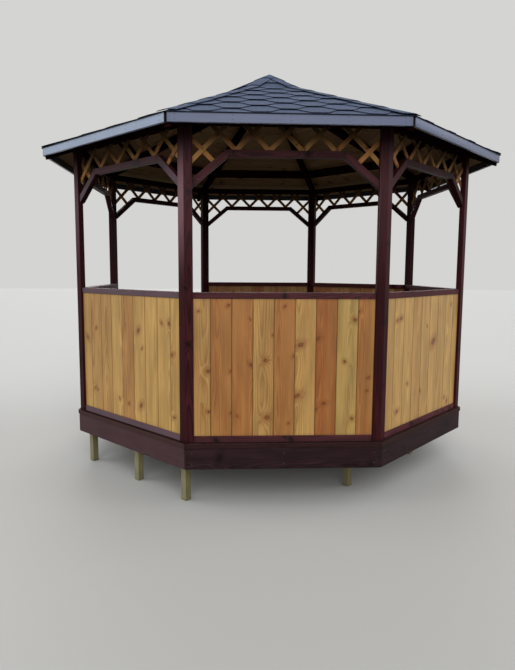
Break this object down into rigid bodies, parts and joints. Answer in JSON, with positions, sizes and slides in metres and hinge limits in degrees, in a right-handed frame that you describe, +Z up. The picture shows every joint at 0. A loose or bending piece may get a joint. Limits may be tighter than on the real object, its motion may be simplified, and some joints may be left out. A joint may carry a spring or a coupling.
{
  "type": "garden gazebo",
  "caption": "Octagonal open timber gazebo with boarded parapets, lattice arches under the eaves and a shingled pyramid roof.",
  "frame": {"origin": "on the lowest ground, under the middle of the gazebo; the feet of the piles are at zero height", "axes": "+Z up; -Y out through the middle of the front bay; +X to the right of someone facing the front bay"},
  "size_m": [3.4334, 3.4334, 3.199],
  "materials": {
    "pile_timber": "pale green-yellow treated softwood, rough sawn",
    "frame_timber": "plain sawn softwood",
    "floor_stain": "dark stained softwood boards",
    "skirt_stain": "dark brown-purple wood stain",
    "dark_stain": "dark mahogany wood stain, satin",
    "honey_pine": "clear-lacquered pine boards",
    "lattice_pine": "natural planed pine",
    "fascia_paint": "blue-grey painted board, satin",
    "sheathing_board": "pale brown sawn boards",
    "slate_shingle": "granule-faced bitumen shingles, slate blue"
  },
  "bodies": {
    "root": {"arch_rails": "dark_stain", "bottom_rails": "dark_stain", "corner_posts": "dark_stain", "deck_floor": "floor_stain", "fascia_boards": "fascia_paint", "floor_bearers": "frame_timber", "floor_joists": "frame_timber", "ground_piles": "pile_timber", "handrails": "dark_stain", "header_beams": "dark_stain", "hip_caps": "slate_shingle", "hip_rafters": "dark_stain", "knee_braces": "dark_stain", "lattice_back": "lattice_pine", "lattice_back_left": "lattice_pine", "lattice_back_right": "lattice_pine", "lattice_front": "lattice_pine", "lattice_front_left": "lattice_pine", "lattice_front_right": "lattice_pine", "lattice_left": "lattice_pine", "lattice_right": "lattice_pine", "parapet_back": "honey_pine", "parapet_back_right": "honey_pine", "parapet_front": "honey_pine", "parapet_front_left": "honey_pine", "parapet_front_right": "honey_pine", "parapet_left": "honey_pine", "parapet_right": "honey_pine", "purlins": "dark_stain", "rim_joists": "frame_timber", "roof_face_back": "slate_shingle", "roof_face_back_left": "slate_shingle", "roof_face_back_right": "slate_shingle", "roof_face_front": "slate_shingle", "roof_face_front_left": "slate_shingle", "roof_face_front_right": "slate_shingle", "roof_face_left": "slate_shingle", "roof_face_right": "slate_shingle", "roof_hub": "dark_stain", "roof_peak": "slate_shingle", "roof_sheathing": "sheathing_board", "skirt_boards": "skirt_stain"}
  },
  "joints": []
}
